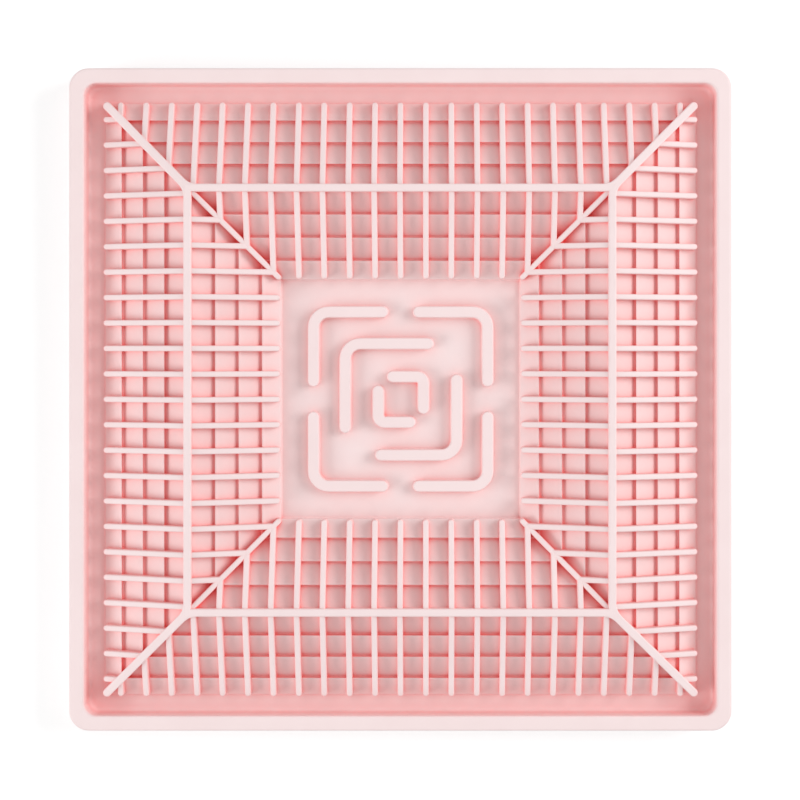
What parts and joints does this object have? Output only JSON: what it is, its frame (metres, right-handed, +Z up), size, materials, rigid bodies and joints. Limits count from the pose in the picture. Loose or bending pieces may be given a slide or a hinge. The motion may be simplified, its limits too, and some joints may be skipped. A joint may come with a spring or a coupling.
{
  "type": "lick mat",
  "caption": "Square pale pink silicone lick mat: raised rim and moat round a four-sided ridge of finned, stepped slopes, which drops to a flat centre panel with low maze bars.",
  "frame": {"origin": "middle of the mat's underside, on the surface that it rests on", "axes": "+Z up, out of the licking side; +X to the right and +Y to the back of the mat as the picture shows it from above"},
  "size_m": [0.2, 0.2, 0.0168],
  "materials": {
    "silicone": "matt moulded silicone, pale pink, slightly translucent"
  },
  "bodies": {
    "root": {"centre_panel": "silicone", "crest_bar_back": "silicone", "crest_bar_front": "silicone", "crest_bar_left": "silicone", "crest_bar_right": "silicone", "inner_fins_back": "silicone", "inner_fins_front": "silicone", "inner_fins_left": "silicone", "inner_fins_right": "silicone", "inner_hip_back_left": "silicone", "inner_hip_back_right": "silicone", "inner_hip_front_left": "silicone", "inner_hip_front_right": "silicone", "inner_terrace_back": "silicone", "inner_terrace_front": "silicone", "inner_terrace_left": "silicone", "inner_terrace_right": "silicone", "maze_bar_inner_back_right": "silicone", "maze_bar_inner_front_left": "silicone", "maze_bar_middle_back_left": "silicone", "maze_bar_middle_front_right": "silicone", "maze_bar_outer_back_left": "silicone", "maze_bar_outer_back_right": "silicone", "maze_bar_outer_front_left": "silicone", "maze_bar_outer_front_right": "silicone", "moat_floor_back": "silicone", "moat_floor_front": "silicone", "moat_floor_left": "silicone", "moat_floor_right": "silicone", "outer_fins_back": "silicone", "outer_fins_front": "silicone", "outer_fins_left": "silicone", "outer_fins_right": "silicone", "outer_hip_back_left": "silicone", "outer_hip_back_right": "silicone", "outer_hip_front_left": "silicone", "outer_hip_front_right": "silicone", "outer_terrace_back": "silicone", "outer_terrace_front": "silicone", "outer_terrace_left": "silicone", "outer_terrace_right": "silicone", "rim_back": "silicone", "rim_front": "silicone", "rim_left": "silicone", "rim_right": "silicone"}
  },
  "joints": []
}
